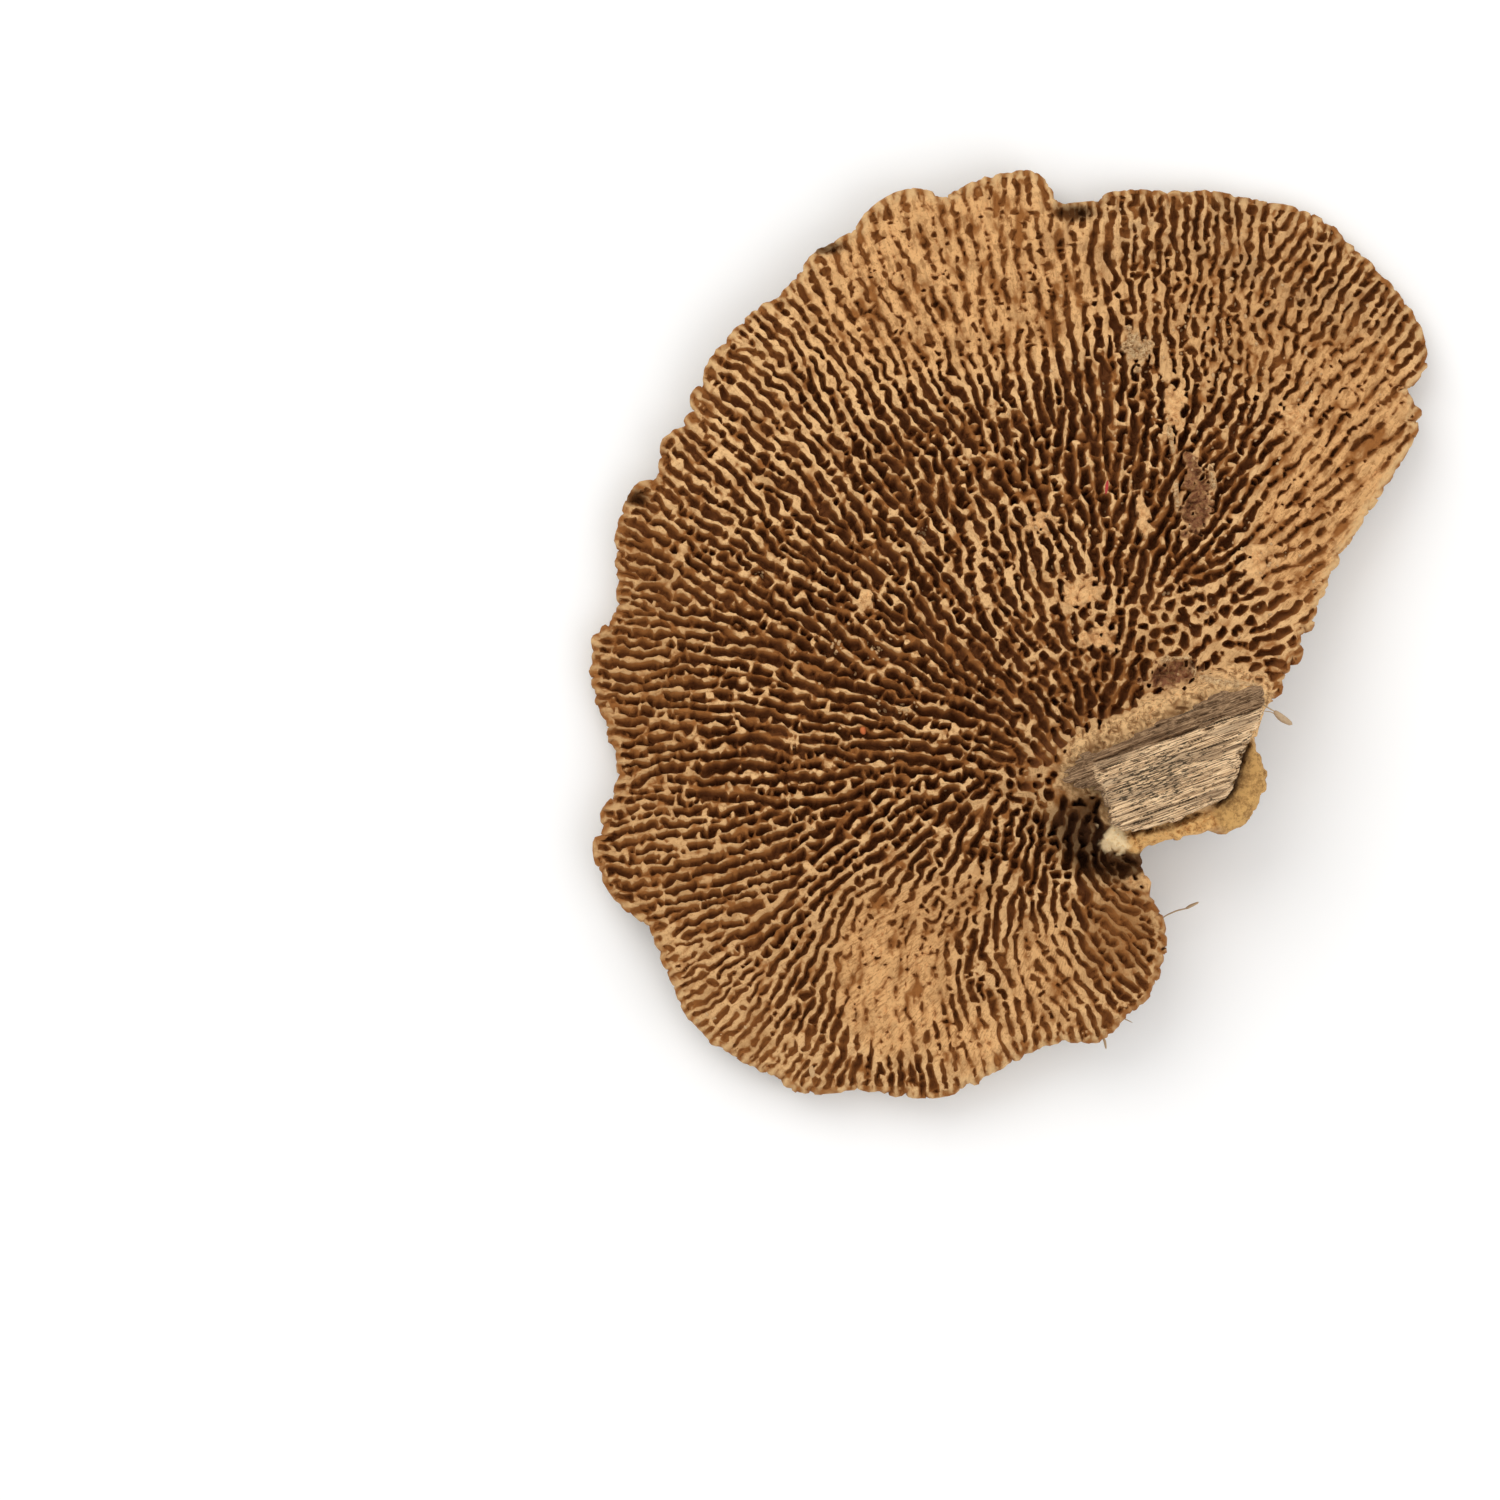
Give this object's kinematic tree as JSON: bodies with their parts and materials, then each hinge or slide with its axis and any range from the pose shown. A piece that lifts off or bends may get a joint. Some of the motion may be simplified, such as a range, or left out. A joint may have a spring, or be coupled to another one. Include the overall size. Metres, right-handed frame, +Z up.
{
  "type": "bracket fungus",
  "caption": "Dried bracket fungus lying gill side up: a wavy fan of woody flesh with maze-like gills, a thin lobed margin and a splinter of host wood on its boss.",
  "frame": {"origin": "under the middle of the outline, on the surface that the fungus lies on", "axes": "+Z up, out of the gill side; +Y towards the broad upper lobe; +X towards the side of the attachment"},
  "size_m": [0.1688, 0.1863, 0.0359],
  "materials": {
    "fungus_flesh": "matte",
    "weathered_wood": "matte"
  },
  "bodies": {
    "root": {"cap": "fungus_flesh", "wood_remnant": "weathered_wood"}
  },
  "joints": []
}
